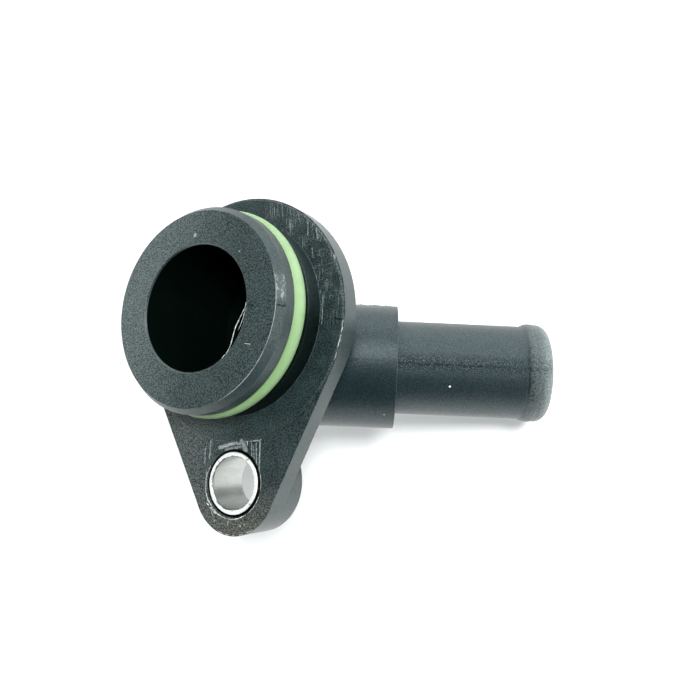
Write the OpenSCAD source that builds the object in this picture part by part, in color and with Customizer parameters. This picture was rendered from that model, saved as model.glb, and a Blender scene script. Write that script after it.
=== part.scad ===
// Coolant flange: an O-ring spigot, a teardrop plate with one bolt lobe, and an angled hose pipe.
// Millimetres. The origin is on the spigot axis at the mounting face. +Z runs out of the spigot,
// the bolt lobe points to -Y, and the hose pipe leaves behind the plate towards +X and -Z.

/* [Spigot] */
// Outer radius of the spigot that enters the housing bore
spigot_r = 17; // [15:0.1:19]
// Height of the spigot above the mounting face
spigot_h = 10.95; // [9:0.05:13]
// Radius at the outer edge of the spigot's end face, inside the lead-in chamfer
face_r = 16.1; // [14:0.05:16.8]
// Axial height of the lead-in chamfer
lead_in_h = 1.3; // [0.8:0.05:2]
// Radius of the passage through the spigot
spigot_bore_r = 10.4; // [8:0.05:11.5]
// Small break on the passage's mouth
mouth_break = 0.25; // [0.1:0.05:0.8]

/* [Seal ring] */
// Cord diameter of the seal ring
ring_section = 3.5; // [2.5:0.05:4]
// How far the ring stands out of its groove
ring_proud = 0.5; // [0.2:0.05:0.8]
// Spare width of the groove beside the ring
groove_slack = 0.4; // [0.2:0.05:1]
// Gap between the ring and the groove's front wall
ring_front_gap = 0.08; // [0.02:0.02:0.2]
// Height of the land between the plate and the groove
rear_land_h = 3.5; // [2.5:0.05:4.5]

/* [Plate] */
// Radius of the round end of the teardrop plate
plate_r = 21.55; // [19:0.05:25]
// Thickness of the plate
plate_t = 3.8; // [3:0.1:6]
// Height of the round sealing pad over the bolt lobe's face
pad_h = 0.3; // [0.1:0.05:0.8]
// Inset of the pad from the plate's round edge
pad_inset = 0.25; // [0.1:0.05:1]
// Corner break around the pad
pad_break = 0.15; // [0.05:0.05:0.3]
// How far the plate's straight sides lie inside the tangents of its two rounds
side_inset = 0.03; // [0.02:0.01:0.2]

/* [Bolt lobe] */
// Distance from the spigot axis to the bolt axis
bolt_offset = 27.85; // [25:0.1:32]
// Radius of the lobe and of the boss behind it
lobe_r = 8.45; // [7:0.1:10]
// Depth of the boss, from the mounting face to its back
boss_depth = 8; // [5:0.1:12]
// Outer radius of the metal bolt sleeve
sleeve_r = 5.05; // [4:0.05:6]
// Wall of the metal bolt sleeve
sleeve_wall = 0.75; // [0.5:0.05:1.2]
// Break on the sleeve's end edges
sleeve_break = 0.15; // [0.05:0.05:0.3]
// Gap all round the sleeve in its seat
sleeve_clearance = 0.05; // [0.02:0.01:0.1]
// Countersunk break round the sleeve's seat in the plastic
seat_break = 0.3; // [0.1:0.05:0.6]

/* [Hose pipe] */
// Depth of the pipe axis below the mounting face, where it passes the spigot axis
pipe_depth = 10.1; // [9:0.1:14]
// How far the pipe axis passes the spigot axis, towards the bolt
pipe_shift = 6.7; // [3:0.1:7.5]
// Angle of the pipe behind the plane of the plate
pipe_drop = 29; // [20:0.5:45]
// Angle of the pipe towards the bolt, seen from the front
pipe_swing = 3.6; // [0:0.1:10]
// Radius of the thick hub that the pipe grows from
hub_r = 11.2; // [10:0.05:12]
// Length of the hub from the spigot axis
hub_len = 22.8; // [20:0.1:28]
// Outer radius of the hose pipe
pipe_r = 8.5; // [7:0.05:9.5]
// Length of the hose pipe beyond the hub
pipe_len = 27.6; // [20:0.1:40]
// Wall of the hose pipe
pipe_wall = 2; // [1.5:0.1:2.5]
// Height of the retaining bead over the pipe
bead_h = 0.5; // [0.2:0.05:1.2]
// Radius of the bead's rounded crest
bead_round = 2.6; // [1.5:0.1:3.2]
// Distance from the bead's crest to the pipe's end
bead_back = 3.25; // [3.2:0.05:6]
// Radius of the rounded end of the pipe
end_round = 2; // [1:0.1:2.2]
// Flat lip between the pipe's bore and its rounded end
lip_w = 0.4; // [0.1:0.1:0.6]

/* [Elbow] */
// Outer radius of the chamber behind the plate
chamber_r = 13.4; // [12.5:0.1:15]
// Depth of the chamber's back below the mounting face
chamber_depth = 12.8; // [11:0.1:16]
// Rounding of the chamber's back edge
chamber_round = 1.5; // [0.5:0.1:2.5]
// Fillet between the chamber and the plate
chamber_fillet = 1.6; // [0.5:0.1:3]
// Thickness of the chamber's floor
floor_t = 2.8; // [2:0.1:3.5]
// Wall of the hub round its wider passage
hub_wall = 3.2; // [2.5:0.1:4]
// Length of the taper where the hub's passage narrows to the pipe's
taper_len = 3; // [2:0.1:5]
// Thickness of plastic between the hub's passage and its end face
hub_end_wall = 2.4; // [1.5:0.1:4]

/* [Hidden] */
groove_depth = ring_section - ring_proud;
groove_w = ring_section + groove_slack;
groove_floor_r = spigot_r - groove_depth;
groove_top = rear_land_h + groove_w;
ring_mid_r = groove_floor_r + ring_section / 2;
ring_z = groove_top - ring_front_gap - ring_section / 2;
pad_r = plate_r - pad_inset;
sleeve_in_r = sleeve_r - sleeve_wall;
seat_r = sleeve_r + sleeve_clearance;
pipe_in_r = pipe_r - pipe_wall;
hub_in_r = hub_r - hub_wall;
pipe_end = hub_len + pipe_len;
bead_at = pipe_end - bead_back;
bead_mid_r = pipe_r + bead_h - bead_round;
end_mid_r = pipe_in_r + lip_w;
// Where the plate's straight sides meet each round, and the sine and cosine of their lean
big_foot = plate_r - side_inset;
small_foot = lobe_r - side_inset;
tan_s = (plate_r - lobe_r) / bolt_offset;
tan_c = sqrt(1 - tan_s * tan_s);
// Overrun that carries cutting solids past the faces they cut
over = 1;
$fn = 128;

// Plate outline: the round, the bolt lobe's round, and the straight sides that join them
module plate_outline() {
    circle(r = plate_r);
    translate([0, -bolt_offset]) circle(r = lobe_r);
    polygon([
        [-big_foot * tan_c, -big_foot * tan_s],
        [-small_foot * tan_c, -bolt_offset - small_foot * tan_s],
        [small_foot * tan_c, -bolt_offset - small_foot * tan_s],
        [big_foot * tan_c, -big_foot * tan_s]
    ]);
}

// Places its children with +Z along the hose pipe, from where the pipe axis passes the spigot axis
module along_pipe() {
    translate([0, -pipe_shift, -pipe_depth])
        rotate([0, 0, -pipe_swing])
            rotate([0, 90 + pipe_drop, 0])
                children();
}

module at_bolt() {
    translate([0, -bolt_offset, 0]) children();
}

// Spigot with its lead-in chamfer and ring groove, as one turned outline
module spigot() {
    rotate_extrude()
        polygon([
            [0, -plate_t],
            [spigot_r, -plate_t],
            [spigot_r, rear_land_h],
            [groove_floor_r, rear_land_h],
            [groove_floor_r, groove_top],
            [spigot_r, groove_top],
            [spigot_r, spigot_h - lead_in_h],
            [face_r, spigot_h],
            [0, spigot_h]
        ]);
}

// Plate, with the round pad that seals against the housing
module plate() {
    translate([0, 0, -plate_t])
        linear_extrude(height = plate_t - pad_h)
            plate_outline();
    rotate_extrude()
        polygon([
            [0, -plate_t],
            [pad_r, -plate_t],
            [pad_r, -pad_break],
            [pad_r - pad_break, 0],
            [0, 0]
        ]);
}

// Round boss behind the bolt lobe
module boss() {
    at_bolt()
        translate([0, 0, -boss_depth])
            cylinder(r = lobe_r, h = boss_depth - plate_t / 2);
}

// Chamber behind the plate, rounded at its back and filleted to the plate
module chamber() {
    rotate_extrude() {
        polygon([
            [0, -chamber_depth],
            [chamber_r - chamber_round, -chamber_depth],
            [chamber_r - chamber_round, -chamber_depth + chamber_round],
            [chamber_r, -chamber_depth + chamber_round],
            [chamber_r, -plate_t],
            [0, -plate_t]
        ]);
        translate([chamber_r - chamber_round, -chamber_depth + chamber_round])
            circle(r = chamber_round);
        difference() {
            translate([chamber_r - over, -plate_t - chamber_fillet])
                square([chamber_fillet + over, chamber_fillet + over]);
            translate([chamber_r + chamber_fillet, -plate_t - chamber_fillet])
                circle(r = chamber_fillet);
        }
    }
}

// Half outline of a round-ended bar of radius r that starts with its dome about the origin
module domed_bar(r, length) {
    square([r, length]);
    intersection() {
        circle(r = r);
        translate([0, -r]) square([r, 2 * r]);
    }
}

// Hub with a domed closed end behind the spigot and a square end face towards the pipe
module hub() {
    along_pipe() rotate_extrude() domed_bar(hub_r, hub_len);
}

// Hose pipe with its retaining bead and rounded end
module hose_pipe() {
    along_pipe()
        rotate_extrude() {
            square([pipe_r, bead_at]);
            square([end_mid_r, pipe_end]);
            translate([bead_mid_r, bead_at]) circle(r = bead_round);
            translate([end_mid_r, pipe_end - end_round]) circle(r = end_round);
            translate([0, bead_at]) square([end_mid_r + end_round, bead_back - end_round]);
        }
}

// Passage in from the spigot, round the elbow and out through the hose pipe
module passage() {
    floor_z = floor_t - chamber_depth;
    translate([0, 0, floor_z])
        cylinder(r = spigot_bore_r, h = spigot_h - floor_z + over);
    translate([0, 0, spigot_h - mouth_break])
        cylinder(r1 = spigot_bore_r, r2 = spigot_bore_r + mouth_break + over, h = mouth_break + over);
    narrow_at = hub_len - hub_end_wall;
    along_pipe()
        rotate_extrude() {
            domed_bar(hub_in_r, narrow_at - taper_len);
            polygon([
                [0, 0],
                [hub_in_r, narrow_at - taper_len],
                [pipe_in_r, narrow_at],
                [pipe_in_r, pipe_end + over],
                [0, pipe_end + over]
            ]);
        }
}

// Hole in the lobe and boss that holds the metal sleeve
module sleeve_seat() {
    at_bolt() {
        translate([0, 0, -boss_depth - over])
            cylinder(r = seat_r, h = boss_depth + 2 * over);
        translate([0, 0, -pad_h - seat_break])
            cylinder(r1 = seat_r, r2 = seat_r + seat_break + over, h = seat_break + over);
    }
}

module flange_body() {
    color([0.2, 0.22, 0.22])
        difference() {
            union() {
                spigot();
                plate();
                boss();
                chamber();
                hub();
                hose_pipe();
            }
            passage();
            sleeve_seat();
        }
}

module o_ring() {
    color([0.65, 0.81, 0.56])
        translate([0, 0, ring_z])
            rotate_extrude()
                translate([ring_mid_r, 0])
                    circle(r = ring_section / 2);
}

// Thin tube that takes the bolt's clamping load, with its end edges broken inside and out
module bolt_sleeve() {
    color([0.8, 0.81, 0.8])
        at_bolt()
            rotate_extrude()
                polygon([
                    [sleeve_in_r, -boss_depth + sleeve_break],
                    [sleeve_in_r + sleeve_break, -boss_depth],
                    [sleeve_r - sleeve_break, -boss_depth],
                    [sleeve_r, -boss_depth + sleeve_break],
                    [sleeve_r, -sleeve_break],
                    [sleeve_r - sleeve_break, 0],
                    [sleeve_in_r + sleeve_break, 0],
                    [sleeve_in_r, -sleeve_break]
                ]);
}

flange_body();
o_ring();
bolt_sleeve();
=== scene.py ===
import math
import random
from types import SimpleNamespace

import bmesh
import bpy
from mathutils import Matrix, Vector


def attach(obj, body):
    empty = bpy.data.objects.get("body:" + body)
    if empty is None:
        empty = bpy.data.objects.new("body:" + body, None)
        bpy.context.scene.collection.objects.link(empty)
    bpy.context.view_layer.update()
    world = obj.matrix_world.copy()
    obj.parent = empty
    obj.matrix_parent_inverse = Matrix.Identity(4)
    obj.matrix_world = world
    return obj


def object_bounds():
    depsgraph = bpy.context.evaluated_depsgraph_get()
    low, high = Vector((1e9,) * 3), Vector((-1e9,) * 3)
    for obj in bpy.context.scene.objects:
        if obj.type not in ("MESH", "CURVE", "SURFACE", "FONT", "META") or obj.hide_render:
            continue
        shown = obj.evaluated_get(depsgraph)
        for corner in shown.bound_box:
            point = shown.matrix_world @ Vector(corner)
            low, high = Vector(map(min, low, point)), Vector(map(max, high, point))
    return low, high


MM = 0.001

# Camera solved from the photo, in pixels and in the part's millimetres
FRAME_PX = 700
SENSOR_MM = 36.0
FOCAL_PX = 687.5
CENTRE_PX = (374.9, 297.1)
CAMERA_MM = (75.68, -21.60, 93.18)
CAMERA_RIGHT = (0.88515, -0.01370, -0.46518)
CAMERA_DOWN = (-0.10816, -0.97828, -0.17700)

# Sizes of the part that the finishes and small pieces follow, in millimetres
PAD_R = 21.3
LOBE_Z = -0.3
LOBE_R = 8.45
BOLT_Y = -27.85
SLEEVE_R = 5.05
SLEEVE_IN_R = 4.3
SPIGOT_R = 17.0
SPIGOT_H = 10.95
FACE_R = 16.1
BORE_R = 10.4
CHAMBER_BACK = -12.8
LEAD_H = 1.3
GROOVE_TOP = 7.4
LAND_H = 3.5
PIPE_START = Vector((0.0, -6.7, -10.1))
PIPE_DROP = math.radians(29)
PIPE_SWING = math.radians(3.6)
HUB_R = 11.2
HUB_IN_R = 8.0
HUB_LEN = 22.8
PIPE_R = 8.5
BEAD_AT = 45.0
PIPE_END = 50.4
FLOOR_GAP = 2.0

# The pipe's own axes: along it, up out of its top, and across it towards the bolt
ALONG = Vector((
    math.cos(PIPE_DROP) * math.cos(PIPE_SWING),
    -math.cos(PIPE_DROP) * math.sin(PIPE_SWING),
    -math.sin(PIPE_DROP),
))
TOP = (Vector((0, 0, 1)) - ALONG * ALONG.z).normalized()
ACROSS = ALONG.cross(TOP)

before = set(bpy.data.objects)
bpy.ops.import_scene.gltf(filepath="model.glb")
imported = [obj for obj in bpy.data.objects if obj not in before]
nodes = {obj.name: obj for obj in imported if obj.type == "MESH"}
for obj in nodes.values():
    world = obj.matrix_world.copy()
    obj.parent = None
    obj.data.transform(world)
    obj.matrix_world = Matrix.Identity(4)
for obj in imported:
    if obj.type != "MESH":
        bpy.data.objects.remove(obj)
cad_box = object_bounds()


def mm(*v):
    return Vector(v) * MM


# Camera
def make_camera():
    cam = bpy.data.cameras.new("photo_camera")
    cam.sensor_fit = "HORIZONTAL"
    cam.sensor_width = SENSOR_MM
    cam.lens = SENSOR_MM * FOCAL_PX / FRAME_PX
    cam.shift_x = (FRAME_PX / 2 - CENTRE_PX[0]) / FRAME_PX
    cam.shift_y = (CENTRE_PX[1] - FRAME_PX / 2) / FRAME_PX
    cam.clip_start = 0.005
    cam.clip_end = 10.0
    obj = bpy.data.objects.new("photo_camera", cam)
    bpy.context.collection.objects.link(obj)
    right = Vector(CAMERA_RIGHT).normalized()
    up = -Vector(CAMERA_DOWN).normalized()
    back = right.cross(up)
    turn = Matrix((right, up, back)).transposed().to_4x4()
    obj.matrix_world = Matrix.Translation(mm(*CAMERA_MM)) @ turn
    bpy.context.scene.camera = obj
    return obj


# Node helpers
class Nodes:
    """A short way to write a node material: every call returns an output socket."""

    def __init__(self, name):
        self.material = bpy.data.materials.new(name)
        self.material.use_nodes = True
        self.tree = self.material.node_tree
        self.tree.nodes.clear()
        self.out = self.tree.nodes.new("ShaderNodeOutputMaterial")
        self.shader = self.tree.nodes.new("ShaderNodeBsdfPrincipled")
        self.tree.links.new(self.shader.outputs[0], self.out.inputs["Surface"])
        self.place = self.tree.nodes.new("ShaderNodeTexCoord").outputs["Object"]
        self.millimetres = self.vector("SCALE", self.place, scale=1.0 / MM)

    def put(self, socket, value):
        """Links an output socket to an input, or sets the input to a plain value."""
        if isinstance(value, bpy.types.NodeSocket):
            self.tree.links.new(value, socket)
        else:
            socket.default_value = value

    def vector(self, kind, a, b=None, scale=None):
        n = self.tree.nodes.new("ShaderNodeVectorMath")
        n.operation = kind
        self.put(n.inputs[0], a)
        if b is not None:
            self.put(n.inputs[1], b)
        if scale is not None:
            self.put(n.inputs["Scale"], scale)
        return n.outputs["Value"] if kind in ("DOT_PRODUCT", "LENGTH", "DISTANCE") else n.outputs["Vector"]

    def noise(self, scale, detail=2.0, rough=0.5, where=None):
        n = self.tree.nodes.new("ShaderNodeTexNoise")
        self.put(n.inputs["Vector"], where or self.millimetres)
        n.inputs["Scale"].default_value = scale
        n.inputs["Detail"].default_value = detail
        n.inputs["Roughness"].default_value = rough
        return n.outputs["Fac"]

    def ramp(self, value, low, high, to_low=0.0, to_high=1.0):
        """A smooth step from to_low at low to to_high at high."""
        n = self.tree.nodes.new("ShaderNodeMapRange")
        n.interpolation_type = "SMOOTHSTEP"
        self.put(n.inputs["Value"], value)
        n.inputs["From Min"].default_value = low
        n.inputs["From Max"].default_value = high
        n.inputs["To Min"].default_value = to_low
        n.inputs["To Max"].default_value = to_high
        return n.outputs["Result"]

    def math(self, kind, a, b=0.0, c=0.0):
        n = self.tree.nodes.new("ShaderNodeMath")
        n.operation = kind
        for socket, value in zip(n.inputs, (a, b, c)):
            self.put(socket, value)
        return n.outputs[0]

    def times(self, first, *others):
        for other in others:
            first = self.math("MULTIPLY", first, other)
        return first

    def most(self, first, *others):
        for other in others:
            first = self.math("MAXIMUM", first, other)
        return first

    def mix(self, share, a, b):
        n = self.tree.nodes.new("ShaderNodeMix")
        n.data_type = "RGBA"
        self.put(n.inputs["Factor"], share)
        self.put(n.inputs[6], a)
        self.put(n.inputs[7], b)
        return n.outputs[2]

    def xyz(self):
        n = self.tree.nodes.new("ShaderNodeSeparateXYZ")
        self.put(n.inputs[0], self.millimetres)
        return n.outputs

    def stretched(self, scale, turn=(0, 0, 0)):
        n = self.tree.nodes.new("ShaderNodeMapping")
        self.put(n.inputs["Vector"], self.millimetres)
        n.inputs["Scale"].default_value = scale
        n.inputs["Rotation"].default_value = turn
        return n.outputs[0]

    def band(self, value, low, high, soft):
        """1 between low and high, fading to 0 over soft on each side."""
        return self.times(self.ramp(value, low - soft, low), self.ramp(value, high, high + soft, 1.0, 0.0))

    def near(self, point, radius, soft):
        """1 within radius of a point in millimetres."""
        return self.ramp(self.vector("DISTANCE", self.millimetres, point), radius, radius + soft, 1.0, 0.0)

    def stroke(self, a, b, width, fray=None):
        """1 along the straight line from a to b in millimetres, as wide as width, with its sides frayed."""
        a = Vector(a)
        run = Vector(b) - a
        from_a = self.vector("SUBTRACT", self.millimetres, tuple(a))
        share = self.vector("DOT_PRODUCT", from_a, tuple(run))
        share = self.math("MULTIPLY", share, 1.0 / run.length_squared)
        share = self.math("MINIMUM", self.math("MAXIMUM", share, 0.0), 1.0)
        away = self.vector("DISTANCE", from_a, self.vector("SCALE", tuple(run), scale=share))
        if fray is not None:
            away = self.math("ADD", away, fray)
        return self.ramp(away, width * 0.35, width, 1.0, 0.0)

    def bump(self, height, strength, distance, under=None):
        n = self.tree.nodes.new("ShaderNodeBump")
        self.put(n.inputs["Height"], height)
        n.inputs["Strength"].default_value = strength
        n.inputs["Distance"].default_value = distance
        if under is not None:
            self.put(n.inputs["Normal"], under)
        return n.outputs[0]

    def edges(self, radius):
        """How near a corner is, 0 on flat faces, and the normal rounded over corners by radius."""
        rounded = self.tree.nodes.new("ShaderNodeBevel")
        self.put(rounded.inputs["Radius"], radius)
        rounded.samples = 4
        flat = self.tree.nodes.new("ShaderNodeNewGeometry")
        dot = self.vector("DOT_PRODUCT", rounded.outputs[0], flat.outputs["Normal"])
        return self.math("SUBTRACT", 1.0, dot), rounded.outputs[0]


# Colours of the plastic
DARK = (0.0016, 0.0062, 0.0070, 1)
GREY = (0.0150, 0.0275, 0.0285, 1)
PIPE_DARK = (0.0010, 0.0065, 0.0095, 1)
# The next two colours are painted light, laid where the plastic is paler towards -X on the spigot's face
# and on the lobe's side
FACE_PAINTED_LIGHT = (0.088, 0.112, 0.109, 1)
LOBE_PAINTED_LIGHT = (0.082, 0.094, 0.090, 1)
LOBE_BROWN = (0.098, 0.092, 0.073, 1)
# Painted highlight on the pipe's rounded end
PIPE_END_PAINTED_LIGHT = (0.190, 0.222, 0.210, 1)
# Pale wear, also used for painted highlights on the pipe
WEAR_AND_HIGHLIGHT = (0.18, 0.205, 0.20, 1)
SEAM_DARK = (0.003, 0.006, 0.006, 1)
SPECK_WHITE = (0.90, 0.91, 0.90, 1)
DEEP = (0.0008, 0.0025, 0.0018, 1)
TINT = (0.93, 1.0, 0.995, 1)
TUBE_TINT = (0.86, 0.985, 1.0, 1)
TORN_LOW = (0.16, 0.18, 0.175, 1)
TORN_HIGH = (0.52, 0.55, 0.53, 1)
SEAM_GREY = (0.045, 0.060, 0.058, 1)

# Colours of the ring, the sleeve and the floor
RING_LOW = (0.182, 0.280, 0.143, 1)
RING_HIGH = (0.208, 0.311, 0.166, 1)
RING_OUTER = (0.124, 0.227, 0.086, 1)
RING_SHADED = (0.108, 0.203, 0.076, 1)
METAL_LOW = (0.43, 0.445, 0.43, 1)
METAL_HIGH = (0.54, 0.555, 0.535, 1)
RIM_LOW = (0.76, 0.76, 0.75, 1)
RIM_HIGH = (0.92, 0.92, 0.91, 1)
NICK = (0.10, 0.105, 0.10, 1)
SCRATCHED = (0.25, 0.25, 0.25, 1)
FLOOR_LOW = (0.80, 0.80, 0.80, 1)
FLOOR_HIGH = (0.82, 0.82, 0.82, 1)

# The walls' colour, and their strength where the camera sees them
WALL_COLOUR = (0.94, 1.0, 0.995, 1)
SEEN_WALLS = 1.3

# Scrapes round the metal sleeve, on the lobe: from, to, width, force
SCRAPES = (
    ((-6.3, -22.2), (-6.4, -24.6), 0.14, 0.6),
    ((-5.25, -20.9), (-5.35, -23.8), 0.16, 0.7),
    ((5.24, -20.9), (5.15, -26.2), 0.17, 0.9),
    ((4.45, -21.5), (4.6, -25.0), 0.15, 0.7),
    ((3.5, -21.4), (3.6, -23.5), 0.15, 0.6),
    ((2.9, -21.05), (5.2, -21.0), 0.15, 0.8),
    ((-3.2, -22.1), (0.6, -21.2), 0.42, 0.8),
    ((-1.8, -22.4), (1.2, -22.0), 0.30, 0.5),
    ((0.2, -21.0), (2.4, -20.7), 0.20, 0.8),
    ((0.6, -21.5), (2.5, -20.9), 0.36, 0.8),
    ((1.6, -21.0), (2.3, -22.6), 0.60, 0.6),
    ((3.9, -21.9), (4.1, -24.2), 0.12, 0.5),
    ((-5.9, -25.8), (-6.0, -29.5), 0.14, 0.6),
    ((-0.95, -34.0), (-1.05, -34.6), 0.14, 1.0),
)

# Scores on the plate's pad: from, to, force
SCORES = (
    ((9.1, 19.1), (9.3, 16.8), 0.5),
    ((14.5, 15.2), (14.5, 12.7), 0.8),
    ((16.2, 13.9), (16.4, 11.8), 0.9),
    ((12.5, 16.9), (12.8, 15.3), 0.6),
    ((10.7, 18.4), (11.0, 16.9), 0.5),
    ((15.3, 10.4), (15.6, 8.6), 0.6),
    ((17.45, 2.0), (17.35, -0.6), 0.6),
    ((17.45, -0.4), (17.3, -2.6), 0.8),
    ((18.3, 4.6), (18.3, 2.6), 0.4),
)
SCORE_WIDTH = 0.11

# Chips near the lobe's tip: place, radius
CHIPS = (((-3.82, -33.96), 0.13), ((1.55, -34.57), 0.18), ((2.38, -34.35), 0.12))

# Pieces of the parting line on the spigot and the plate: from, to, width
SEAM_STROKES = (
    ((10.6, -0.82, SPIGOT_H), (11.8, -0.95, SPIGOT_H), 0.22),
    ((16.2, -1.30, 10.7), (16.95, -1.38, 9.6), 0.2),
    ((19.7, -2.05, 0.0), (21.3, -2.4, 0.0), 0.2),
)

# Cuts in the metal sleeve's rim: from, to, width
RIM_CUTS = (
    ((2.75, -24.1, 0), (3.2, -24.0, 0), 0.16),
    ((3.55, -31.1, 0), (3.95, -31.4, 0), 0.18),
    ((-2.9, -24.6, 0), (-3.1, -24.3, 0), 0.12),
)

# White specks: place, radius, softness, force
SPECKS = (
    ((31.56, -12.29, -18.95), 0.13, 0.07, 1.0),
    ((21.07, -16.91, -14.28), 0.06, 0.08, 0.6),
    ((-0.33, 12.07, SPIGOT_H), 0.14, 0.35, 0.20),
    ((8.95, 7.99, SPIGOT_H), 0.08, 0.14, 0.20),
)


def places(m):
    """Where a point of the moulding lies, in millimetres, and masks for the surface it is on."""
    p = SimpleNamespace()
    p.x, p.y, p.z = m.xyz()
    p.r = m.math("SQRT", m.math("ADD", m.times(p.x, p.x), m.times(p.y, p.y)))
    from_pipe = m.vector("SUBTRACT", m.millimetres, tuple(PIPE_START))
    p.along = m.vector("DOT_PRODUCT", from_pipe, tuple(ALONG))
    p.up = m.vector("DOT_PRODUCT", from_pipe, tuple(TOP))
    p.side = m.vector("DOT_PRODUCT", from_pipe, tuple(ACROSS))
    p.pipe_r = m.math("SQRT", m.math("ADD", m.times(p.up, p.up), m.times(p.side, p.side)))

    # Inside the bore and the pipe, and in the sleeve's seat, little light reaches
    in_bore = m.times(
        m.ramp(p.r, BORE_R + 0.02, BORE_R + 0.10, 1.0, 0.0),
        m.band(p.z, CHAMBER_BACK + 0.2, SPIGOT_H - 0.3, 0.1),
    )
    in_pipe = m.times(
        m.ramp(p.pipe_r, HUB_IN_R + 0.05, HUB_IN_R + 0.15, 1.0, 0.0),
        m.ramp(p.along, BEAD_AT, BEAD_AT + 1.0, 1.0, 0.0),
    )
    p.inside = m.most(in_bore, in_pipe)
    bolt_away = m.vector("DISTANCE", m.vector("MULTIPLY", m.millimetres, (1, 1, 0)), (0, BOLT_Y, 0))
    p.seat = m.ramp(bolt_away, SLEEVE_R + 0.40, SLEEVE_R + 0.52, 1.0, 0.0)

    # The spigot's flat end, its lead-in, and its outside round the end
    past_face = m.ramp(p.r, FACE_R - 0.02, FACE_R + 0.02)
    p.on_face = m.times(
        m.ramp(p.z, SPIGOT_H - 0.06, SPIGOT_H - 0.02),
        m.ramp(p.r, FACE_R + 0.02, FACE_R + 0.06, 1.0, 0.0),
    )
    p.on_lead = m.times(m.ramp(p.z, SPIGOT_H - LEAD_H - 0.05, SPIGOT_H - LEAD_H), past_face)
    p.on_nose = m.times(m.band(p.z, GROOVE_TOP - 0.1, SPIGOT_H - 0.08, 0.02), past_face)
    # The land between ring and plate
    p.on_land = m.times(
        m.ramp(p.r, SPIGOT_R + 0.05, SPIGOT_R + 0.1, 1.0, 0.0),
        m.band(p.z, 0.05, LAND_H + 0.4, 0.05),
    )
    # The plate's front, the hub and the pipe
    p.on_front = m.times(m.ramp(p.z, LOBE_Z - 0.03, LOBE_Z - 0.01), m.ramp(p.z, 0.05, 0.1, 1.0, 0.0))
    p.on_hub = m.times(
        m.band(p.pipe_r, HUB_R - 0.1, HUB_R + 0.1, 0.05),
        m.ramp(p.along, HUB_LEN + 0.1, HUB_LEN + 0.2, 1.0, 0.0),
    )
    out_of_pipe = m.ramp(p.pipe_r, PIPE_R - 0.4, PIPE_R - 0.3)
    p.on_pipe = m.times(out_of_pipe, m.ramp(p.along, HUB_LEN + 0.01, HUB_LEN + 0.05))
    p.on_tube = m.most(p.on_hub, p.on_pipe)
    p.in_hollow = m.times(m.band(p.along, BEAD_AT + 0.2, BEAD_AT + 1.6, 0.3), out_of_pipe)
    return p


def moulded_tone(m, p, speckle):
    """The plastic's colour before wear: a fine grain, a darker pipe and hub, a browner lobe tip, painted
    light paler towards -X on the spigot's face and the lobe's side, and a painted highlight on the pipe's
    end.
    """
    tone = m.mix(m.ramp(speckle, 0.38, 0.66), DARK, GREY)
    patch = m.noise(0.28, 4.0, 0.55)
    tone = m.mix(m.times(m.ramp(patch, 0.42, 0.66), 0.5), tone, GREY)
    tone = m.mix(m.times(p.on_tube, 0.7), tone, PIPE_DARK)

    # Painted light on the spigot's face: paler towards -X, broken by the grain
    lean = m.vector("DOT_PRODUCT", m.millimetres, (-0.95, 0.30, 0))
    painted_face_light = m.times(p.on_face, m.ramp(lean, -6.0, 14.0, 0.12, 0.85), m.ramp(speckle, 0.38, 0.64, 0.3, 1.0))
    tone = m.mix(painted_face_light, tone, FACE_PAINTED_LIGHT)

    # A browner tip on the lobe, and painted light on its side, paler towards -X
    on_lobe = m.times(p.on_front, m.ramp(speckle, 0.42, 0.62, 0.15, 1.0))
    tone = m.mix(m.times(on_lobe, m.ramp(p.y, -26.0, -36.0, 0.0, 0.95)), tone, LOBE_BROWN)
    tone = m.mix(m.times(on_lobe, m.ramp(p.x, 1.0, -10.0, 0.0, 0.8)), tone, LOBE_PAINTED_LIGHT)

    # Painted highlight: the pipe's rounded end paler, broken by the grain
    tip = m.times(
        m.ramp(p.along, BEAD_AT + 1.2, PIPE_END - 0.2, 0.0, 0.85),
        m.ramp(p.pipe_r, PIPE_R - 1.6, PIPE_R - 1.2),
        m.ramp(speckle, 0.38, 0.64, 0.4, 1.0),
    )
    return m.mix(tip, tone, PIPE_END_PAINTED_LIGHT)


def parting_line(m, p, speckle, fray):
    """The dark, ragged line where the halves of the mould met."""
    wander = m.times(m.math("SUBTRACT", m.noise(2.2, 3.0, 0.75), 0.5), 1.1)
    jitter = m.times(m.math("SUBTRACT", speckle, 0.5), 1.3)
    off_line = m.math("ABSOLUTE", m.math("ADD", m.math("ADD", p.side, wander), jitter))
    seam = m.times(
        m.ramp(off_line, 0.10, 0.26, 1.0, 0.0),
        m.ramp(p.up, 7.5, 8.0),
        m.ramp(p.z, -5.0, -6.0),
        m.ramp(m.noise(1.3, 2.0, 0.6), 0.36, 0.50, 0.15, 1.0),
        m.ramp(p.along, HUB_LEN, HUB_LEN + 0.1, 0.25, 1.0),
        m.ramp(p.along, 28.0, 46.0, 1.0, 0.45),
    )
    return m.most(seam, *(m.stroke(a, b, width, fray) for a, b, width in SEAM_STROKES))


def scratches(m, p):
    """Fine scratches on the plate's front, along Y and slantwise towards its edge."""
    bare = m.ramp(m.noise(0.35, 2.0), 0.38, 0.56)
    lengthwise = m.times(
        p.on_front,
        m.ramp(m.noise(1.0, 3.0, 0.65, m.stretched((7.5, 0.30, 1.0))), 0.55, 0.66),
        bare,
        m.ramp(p.y, -6.0, 3.0, 0.15, 1.0),
        m.ramp(p.x, 4.0, 8.0, 0.15, 1.0),
    )
    slanted = m.times(
        p.on_front,
        m.ramp(m.noise(1.0, 3.0, 0.6, m.stretched((0.40, 6.5, 1.0), (0, 0, 0.7))), 0.58, 0.68),
        bare,
        m.ramp(p.x, 8.0, 12.0),
        m.ramp(p.y, -2.0, 4.0),
        0.6,
    )
    return m.most(lengthwise, slanted)


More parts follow.
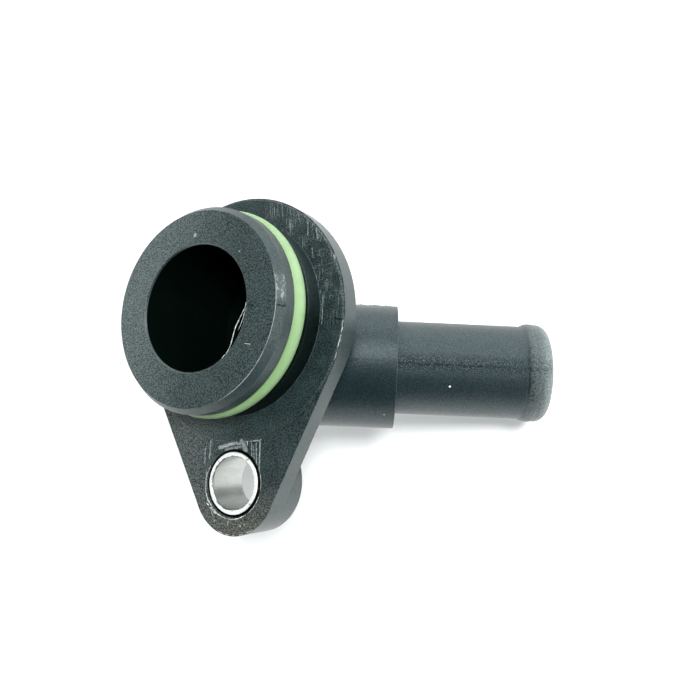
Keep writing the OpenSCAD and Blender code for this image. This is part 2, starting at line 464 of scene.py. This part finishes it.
def marks(m, fine, fray):
    """The single scrapes, scores and chips that the photo shows."""
    scraped = m.most(*(
        m.times(m.stroke((*a, LOBE_Z), (*b, LOBE_Z), width, fray), force) for a, b, width, force in SCRAPES
    ))
    scraped = m.times(scraped, 1.3, m.ramp(m.noise(2.6, 2.0), 0.30, 0.50, 0.35, 1.0))
    broken = m.ramp(fine, 0.36, 0.50, 0.3, 1.0)
    for a, b, force in SCORES:
        scraped = m.most(scraped, m.times(m.stroke((*a, 0.0), (*b, 0.0), SCORE_WIDTH, fray), force, broken))
    for point, radius in CHIPS:
        scraped = m.most(scraped, m.times(m.near((*point, LOBE_Z), radius, 0.05), 1.6))
    return scraped


def wear_and_painted_highlights(m, p, wear, fine, fray):
    """How pale the plastic is, from 0 to 1: rubbed wear and scratches, with painted highlights on the
    pipe's seam and bead.
    """
    patchy = m.ramp(m.noise(0.9, 3.0, 0.6), 0.35, 0.65, 0.25, 1.0)
    corners = m.times(m.ramp(wear, 0.02, 0.28), patchy, 0.55)

    # The edge of the spigot's face, on the side that faces the pipe
    arc = m.times(
        m.band(p.z, SPIGOT_H - 0.05, SPIGOT_H + 0.1, 0.01),
        m.band(p.r, FACE_R - 0.05, FACE_R + 0.02, 0.03),
        m.ramp(p.y, 6.0, 1.0),
        m.ramp(p.x, 4.0, 9.0),
        m.ramp(m.noise(0.7, 2.0), 0.30, 0.5, 0.5, 1.0),
    )
    # Rubs on the lead-in, on the same side
    rubs = m.noise(1.0, 3.0, 0.7, m.stretched((2.6, 1.1, 2.6)))
    rubbed = m.times(
        p.on_lead,
        m.ramp(p.x, 14.6, 15.6),
        m.band(p.y, 0.2, 3.0, 1.0),
        m.ramp(rubs, 0.50, 0.62, 0.12, 1.0),
    )
    # Painted highlights: glints beside the pipe's parting line, and along the crest of its bead
    glints = m.times(
        m.ramp(m.math("ABSOLUTE", m.math("ADD", p.side, 0.5)), 0.2, 1.4, 1.0, 0.0),
        m.ramp(fine, 0.60, 0.68),
        m.ramp(p.up, 7.5, 8.0),
        p.on_pipe,
    )
    crest = m.times(
        m.band(p.along, BEAD_AT + 1.3, BEAD_AT + 2.1, 0.35),
        m.ramp(p.pipe_r, PIPE_R + 0.1, PIPE_R + 0.3),
        m.ramp(m.noise(2.6, 3.0), 0.4, 0.6, 0.03, 0.25),
    )
    pale = m.most(
        corners,
        crest,
        arc,
        m.times(glints, 0.7),
        m.times(scratches(m, p), 0.95),
        m.times(marks(m, fine, fray), 1.1),
        m.times(rubbed, 0.9),
    )
    return m.math("MINIMUM", pale, 1.0)


def white_specks(m):
    scratch = m.stroke((10.44, -6.66, SPIGOT_H), (11.5, -6.86, SPIGOT_H), 0.10)
    dots = (m.times(m.near(point, radius, soft), force) for point, radius, soft, force in SPECKS)
    return m.most(m.times(scratch, 0.22), *dots)


def plastic_material():
    m = Nodes("charcoal_plastic")
    p = places(m)
    fine = m.noise(5.6, 2.0, 0.6)
    speckle = m.noise(4.0, 3.0, 0.6)
    fray = m.times(m.math("SUBTRACT", m.noise(3.0, 2.0), 0.5), 0.5)
    # The bead runs into the pipe with a soft hollow; other corners are nearly sharp
    corner = m.math("ADD", m.times(p.in_hollow, 0.8 * MM), 0.18 * MM)
    wear, rounded = m.edges(corner)
    seam = parting_line(m, p, speckle, fray)
    pale = wear_and_painted_highlights(m, p, wear, fine, fray)
    # The land lies in the shadow of the spigot on the side of the bolt
    shade = m.most(p.inside, p.seat, m.times(p.on_land, m.ramp(p.y, 6.0, -4.0, 0.25, 0.85)))

    tone = moulded_tone(m, p, speckle)
    # Pale wear, and painted highlights on the pipe's seam and bead
    tone = m.mix(pale, tone, WEAR_AND_HIGHLIGHT)
    tone = m.mix(m.times(seam, 0.9), tone, SEAM_DARK)
    tone = m.mix(white_specks(m), tone, SPECK_WHITE)
    m.put(m.shader.inputs["Base Color"], m.mix(shade, tone, DEEP))

    by_seam = m.times(
        p.on_pipe,
        m.ramp(m.math("ABSOLUTE", m.math("ADD", p.side, 0.3)), 0.4, 3.2, 1.0, 0.0),
        m.ramp(p.up, 6.5, 7.5),
    )
    tube_grain = m.most(m.times(p.on_tube, 0.45), m.times(by_seam, 0.9))
    coarse = m.most(p.on_face, p.on_front, m.times(p.on_land, 0.5), tube_grain, 0.22)
    rough = m.math("ADD", m.ramp(fine, 0.3, 0.7, 0.29, 0.38), m.times(coarse, 0.15))
    rough = m.math("ADD", rough, m.times(pale, 0.15))
    m.put(m.shader.inputs["Roughness"], m.math("MINIMUM", rough, 1.0))

    gleam = m.math("ADD", 0.95, m.times(coarse, m.ramp(speckle, 0.39, 0.63, -0.74, -0.02)))
    gleam = m.math("ADD", gleam, m.times(p.on_pipe, 0.08))
    gleam = m.math("SUBTRACT", gleam, m.times(p.on_hub, 0.03))
    gleam = m.times(
        gleam,
        m.ramp(p.on_nose, 0.0, 1.0, 1.0, 0.80),
        m.ramp(seam, 0.0, 1.0, 1.0, 0.35),
        m.ramp(shade, 0.0, 1.0, 1.0, 0.05),
    )
    m.put(m.shader.inputs["Specular IOR Level"], gleam)
    m.put(m.shader.inputs["Specular Tint"], m.mix(p.on_tube, TINT, TUBE_TINT))

    grain = m.math("ADD", m.times(fine, 0.6), m.times(speckle, 0.5))
    more = m.math("ADD", m.times(p.on_pipe, 1.5), m.times(by_seam, 4.5))
    grain = m.times(grain, m.math("ADD", more, 0.75))
    height = m.math("SUBTRACT", m.math("ADD", grain, m.times(pale, 0.5)), m.times(seam, 1.2))
    m.put(m.shader.inputs["Normal"], m.bump(height, 0.6, 0.06 * MM, rounded))
    return m.material


def flash_material(name, low, high):
    m = Nodes(name)
    tone = m.mix(m.ramp(m.noise(1.6, 3.0, 0.6), 0.35, 0.65), low, high)
    m.put(m.shader.inputs["Base Color"], tone)
    m.put(m.shader.inputs["Roughness"], m.ramp(m.noise(5.0, 2.0), 0.3, 0.7, 0.35, 0.6))
    m.put(m.shader.inputs["Normal"], m.bump(m.noise(6.0, 2.0), 0.3, 0.04 * MM))
    return m.material


def seal_material():
    m = Nodes("green_seal")
    y, z = m.xyz()[1:]
    tone = m.mix(m.ramp(m.noise(0.5, 3.0, 0.6), 0.3, 0.7), RING_LOW, RING_HIGH)
    tone = m.mix(m.ramp(z, 6.2, 7.2, 0.0, 0.6), tone, RING_OUTER)
    tone = m.mix(m.ramp(y, 4.0, -10.0, 0.0, 0.55), tone, RING_SHADED)
    m.put(m.shader.inputs["Base Color"], tone)
    m.put(m.shader.inputs["Roughness"], m.ramp(m.noise(2.5, 2.0), 0.3, 0.7, 0.44, 0.58))
    m.put(m.shader.inputs["Normal"], m.bump(m.noise(3.0, 2.0), 0.2, 0.03 * MM))
    return m.material


def sleeve_material():
    m = Nodes("sleeve_metal")
    z = m.xyz()[2]
    away = m.vector("DISTANCE", m.vector("MULTIPLY", m.millimetres, (1, 1, 0)), (0, BOLT_Y, 0))
    drawn = m.noise(1.0, 4.0, 0.6, m.stretched((1.1, 1.1, 0.25)))
    fine = m.noise(6.0, 3.0, 0.6)
    tone = m.mix(m.ramp(drawn, 0.3, 0.7), METAL_LOW, METAL_HIGH)
    rim = m.times(m.ramp(z, -0.2, -0.05), m.ramp(away, SLEEVE_IN_R + 0.05, SLEEVE_IN_R + 0.12))
    tone = m.mix(rim, tone, m.mix(m.ramp(fine, 0.35, 0.6), RIM_LOW, RIM_HIGH))
    ragged = m.math("ADD", away, m.times(m.math("SUBTRACT", m.noise(1.8, 3.0, 0.7), 0.5), 0.5))
    nicks = m.times(
        m.ramp(z, -0.3, -0.15),
        m.ramp(ragged, SLEEVE_IN_R + 0.12, SLEEVE_IN_R + 0.20, 1.0, 0.0),
        m.ramp(m.noise(1.1, 2.0), 0.42, 0.52),
    )
    nicks = m.most(nicks, *(m.stroke(a, b, width) for a, b, width in RIM_CUTS))
    tone = m.mix(m.times(nicks, 0.75), tone, NICK)
    scratch = m.stroke((-4.26, -27.0, -3.2), (-4.27, -28.3, -3.9), 0.10)
    tone = m.mix(m.times(scratch, 0.5), tone, SCRATCHED)
    m.put(m.shader.inputs["Base Color"], tone)
    m.put(m.shader.inputs["Metallic"], m.ramp(rim, 0.0, 1.0, 1.0, 0.45))
    m.put(m.shader.inputs["Roughness"], m.ramp(drawn, 0.3, 0.7, 0.30, 0.42))
    rounded = m.edges(0.1 * MM)[1]
    height = m.math("SUBTRACT", m.math("ADD", m.times(drawn, 0.5), m.times(fine, 0.4)), nicks)
    m.put(m.shader.inputs["Normal"], m.bump(height, 0.35, 0.03 * MM, rounded))
    return m.material


def floor_material():
    m = Nodes("pale_floor")
    tone = m.mix(m.ramp(m.noise(0.03, 3.0), 0.3, 0.7), FLOOR_LOW, FLOOR_HIGH)
    m.put(m.shader.inputs["Base Color"], tone)
    m.put(m.shader.inputs["Roughness"], m.ramp(m.noise(0.8, 3.0), 0.3, 0.7, 0.86, 0.94))
    m.put(m.shader.inputs["Normal"], m.bump(m.noise(1.5, 3.0), 0.05, 0.05 * MM))
    m.shader.inputs["Emission Color"].default_value = (1, 1, 1, 1)
    # Far out, where the key light fades, the floor stays pale by itself
    far = m.vector("LENGTH", m.place)
    m.put(m.shader.inputs["Emission Strength"], m.ramp(far, 0.25, 0.9, 0.075, 0.50))
    return m.material


def wear_material(node, material):
    slots = nodes[node].material_slots
    for slot in slots:
        slot.material = material
    if not slots:
        nodes[node].data.materials.append(material)


# Flash and burrs: thin threads of plastic that stand on the moulding
def pipe_point(s, degrees, r):
    """A point s along the pipe and r from its axis, turned by degrees from its top, away from the bolt."""
    turn = math.radians(degrees)
    return PIPE_START + ALONG * s + (TOP * math.cos(turn) - ACROSS * math.sin(turn)) * r


def thread(mesh, points, thickness, wander, seed, sides=6):
    """Adds one closed thread through the points, thin at both ends, straying by up to wander."""
    dice = random.Random(seed)
    rings = []
    last = len(points) - 1
    for i, point in enumerate(points):
        ahead = (points[min(i + 1, last)] - points[max(i - 1, 0)]).normalized()
        side = ahead.orthogonal().normalized()
        other = ahead.cross(side)
        fade = math.sin(math.pi * (i + 0.35) / (last + 0.7)) ** 0.4
        radius = thickness * fade * dice.uniform(0.65, 1.25)
        stray = side * dice.uniform(-wander, wander) + other * dice.uniform(-wander, wander)
        middle = point + stray * fade
        ring = []
        for k in range(sides):
            turn = 2 * math.pi * k / sides
            spoke = (side * math.cos(turn) + other * math.sin(turn)) * radius
            ring.append(mesh.verts.new((middle + spoke) * MM))
        rings.append(ring)
    for low, high in zip(rings, rings[1:]):
        for k in range(sides):
            j = (k + 1) % sides
            mesh.faces.new((low[k], low[j], high[j], high[k]))
    mesh.faces.new(list(reversed(rings[0])))
    mesh.faces.new(rings[-1])


def arc_points(centre, r0, r1, z, start, end, count):
    out = []
    for i in range(count + 1):
        share = i / count
        turn = math.radians(start + (end - start) * share)
        r = r0 + (r1 - r0) * share
        out.append(Vector((centre[0] + r * math.cos(turn), centre[1] + r * math.sin(turn), z)))
    return out


def make_piece(name, build, material):
    mesh = bmesh.new()
    build(mesh)
    bmesh.ops.recalc_face_normals(mesh, faces=mesh.faces)
    data = bpy.data.meshes.new(name)
    mesh.to_mesh(data)
    mesh.free()
    for face in data.polygons:
        face.use_smooth = True
    obj = bpy.data.objects.new(name, data)
    bpy.context.collection.objects.link(obj)
    data.materials.append(material)
    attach(obj, "root")
    return obj


def build_mouth_flash(mesh):
    inner = []
    steps = 28
    for i in range(steps + 1):
        share = i / steps
        turn = math.radians(-1.0 - 55.0 * share)
        bulge = 0.78 * math.sin(math.pi * min(share * 1.25, 1.0)) ** 1.2
        bulge += 0.30 * math.sin(math.pi * share) ** 2
        r = BORE_R - bulge
        inner.append(Vector((r * math.cos(turn), r * math.sin(turn), SPIGOT_H - 0.22)))
    thread(mesh, inner, 0.07, 0.012, 3)
    outer = arc_points((0, 0), BORE_R - 0.02, BORE_R - 0.36, SPIGOT_H - 0.2, -3, -27, 14)
    thread(mesh, outer, 0.045, 0.01, 4)


def build_parting_flash(mesh):
    dice = random.Random(11)

    def dash(s, length, steps, angle, sway, r, thickness, wander, seed):
        turns = [angle + dice.uniform(-sway, sway) for i in range(steps + 1)]
        points = [pipe_point(s + length * i / steps, turn, r) for i, turn in enumerate(turns)]
        thread(mesh, points, thickness, wander, seed)

    # Along the pipe's top
    s = HUB_LEN + 0.4
    while s < BEAD_AT + 1.5:
        length = dice.uniform(0.5, 1.6)
        dash(s, length, 6, 0, 1.8, PIPE_R, 0.04, 0.02, int(s * 10))
        s += length + dice.uniform(0.5, 1.9)
    # Along the hub's top
    s = 13.5
    while s < HUB_LEN - 0.8:
        length = dice.uniform(0.6, 1.4)
        dash(s, length, 6, 0, 0.6, HUB_R, 0.045, 0.02, int(s * 10) + 1)
        s += length + dice.uniform(0.7, 1.8)
    # Along the hub's side, away from the bolt
    s = 8.5
    while s < HUB_LEN - 1.2:
        length = dice.uniform(0.9, 2.4)
        dash(s, length, 8, 84, 1.4, HUB_R + 0.02, 0.12, 0.06, int(s * 10) + 2)
        s += length + dice.uniform(0.1, 0.7)


def build_sleeve_burrs(mesh):
    bolt = (0, BOLT_Y)
    z = LOBE_Z + 0.05
    thread(mesh, arc_points(bolt, 6.05, 5.85, z, -165, -104, 24), 0.12, 0.09, 21)
    thread(mesh, arc_points(bolt, 6.45, 6.1, z, -150, -124, 10), 0.10, 0.12, 22)
    thread(mesh, arc_points(bolt, 5.80, 5.62, z, -104, -62, 16), 0.10, 0.07, 23)
    thread(mesh, arc_points(bolt, 5.62, 5.62, z, -55, -22, 14), 0.05, 0.04, 24)
    thread(mesh, arc_points(bolt, 5.62, 5.60, z, -14, 20, 14), 0.05, 0.03, 25)
    thread(mesh, arc_points(bolt, 5.75, 6.0, z, 150, 196, 16), 0.045, 0.04, 26)
    thread(mesh, [Vector((-3.3 + 0.32 * i, -22.15 + 0.06 * i, z)) for i in range(12)], 0.07, 0.10, 27)
    thread(mesh, [Vector((-1.6 + 0.28 * i, -21.55 + 0.05 * i, z)) for i in range(14)], 0.06, 0.09, 28)
    thread(mesh, [Vector((0.4 + 0.22 * i, -21.0 + 0.03 * i, z)) for i in range(10)], 0.07, 0.08, 29)
    thread(mesh, [Vector((2.5 + 0.05 * i, -20.9 - 0.18 * i, z)) for i in range(6)], 0.06, 0.05, 30)
    thread(mesh, [Vector((-4.6 + 0.1 * i, -32.3 - 0.2 * i, z)) for i in range(6)], 0.06, 0.05, 31)


def build_edge_burrs(mesh):
    thread(mesh, arc_points((0, 0), PAD_R + 0.05, PAD_R + 0.05, -0.08, -6.4, -12.0, 12), 0.07, 0.06, 41)
    thread(mesh, arc_points((0, 0), PAD_R + 0.05, PAD_R, -0.08, -12.6, -18.5, 12), 0.08, 0.08, 42)
    thread(mesh, arc_points((0, 0), PAD_R + 0.1, PAD_R + 0.1, -0.1, -20.5, -24.0, 8), 0.05, 0.05, 43)
    bolt = (0, BOLT_Y)
    r = LOBE_R - 0.17
    for i, (start, end) in enumerate(((-112, -103), (-101, -94), (-91, -84), (-81, -72), (-70, -60))):
        thread(mesh, arc_points(bolt, r, r, LOBE_Z - 0.04, start, end, 7), 0.08, 0.03, 50 + i)


# Floor and light
def make_floor():
    low = cad_box[0][2] - FLOOR_GAP * MM
    bpy.ops.mesh.primitive_plane_add(size=3.0, location=(0, 0, low))
    floor = bpy.context.object
    floor.name = "studio_floor"
    floor.data.materials.append(floor_material())


def area_light(name, towards, distance, size, power, in_reflections=True, on_matt=True):
    light = bpy.data.lights.new(name, "AREA")
    light.shape = "SQUARE"
    light.size = size
    light.energy = power
    obj = bpy.data.objects.new(name, light)
    bpy.context.collection.objects.link(obj)
    place = Vector(towards).normalized() * distance
    obj.location = place
    obj.rotation_euler = (-place).to_track_quat("-Z", "Y").to_euler()
    obj.visible_glossy = in_reflections
    obj.visible_diffuse = on_matt
    return obj


def make_light():
    """Pale walls that darken overhead and towards -Y, a soft box, and a key light that gives the shadow."""
    world = bpy.data.worlds.new("studio")
    bpy.context.scene.world = world
    world.use_nodes = True
    tree = world.node_tree
    back = tree.nodes["Background"]
    place = tree.nodes.new("ShaderNodeTexCoord").outputs["Generated"]

    def facing(direction, low, high, to_low, to_high):
        dot = tree.nodes.new("ShaderNodeVectorMath")
        dot.operation = "DOT_PRODUCT"
        tree.links.new(place, dot.inputs[0])
        dot.inputs[1].default_value = Vector(direction).normalized()
        ramp = tree.nodes.new("ShaderNodeMapRange")
        ramp.interpolation_type = "SMOOTHSTEP"
        tree.links.new(dot.outputs["Value"], ramp.inputs["Value"])
        for name, value in zip(("From Min", "From Max", "To Min", "To Max"), (low, high, to_low, to_high)):
            ramp.inputs[name].default_value = value
        return ramp.outputs["Result"]

    def times(a, b):
        n = tree.nodes.new("ShaderNodeMath")
        n.operation = "MULTIPLY"
        tree.links.new(a, n.inputs[0])
        tree.links.new(b, n.inputs[1])
        return n.outputs[0]

    walls = facing((0, 0, 1), 0.28, 0.76, 2.4, 0.14)
    dim = facing((0.20, -0.88, 0.43), 0.66, 0.94, 1.0, 0.03)
    # The camera sees the walls evenly pale
    seen = tree.nodes.new("ShaderNodeLightPath").outputs["Is Camera Ray"]
    choice = tree.nodes.new("ShaderNodeMix")
    tree.links.new(seen, choice.inputs["Factor"])
    tree.links.new(times(walls, dim), choice.inputs[2])
    choice.inputs[3].default_value = SEEN_WALLS
    tree.links.new(choice.outputs[0], back.inputs["Strength"])
    back.inputs["Color"].default_value = WALL_COLOUR
    area_light("soft_box", (0.445, 0.343, 0.827), 0.55, 0.26, 1.35, on_matt=False)
    area_light("key", (0.579, 0.102, 0.809), 0.60, 0.13, 6.0, in_reflections=False)


make_camera()
wear_material("flange_body", plastic_material())
wear_material("o_ring", seal_material())
wear_material("bolt_sleeve", sleeve_material())
torn = flash_material("torn_plastic", TORN_LOW, TORN_HIGH)
seam = flash_material("seam_plastic", DARK, SEAM_GREY)
make_piece("mouth_flash", build_mouth_flash, torn)
make_piece("parting_flash", build_parting_flash, seam)
make_piece("sleeve_burrs", build_sleeve_burrs, torn)
make_piece("edge_burrs", build_edge_burrs, torn)
make_floor()
make_light()

scene = bpy.context.scene
scene.view_settings.view_transform = "Standard"
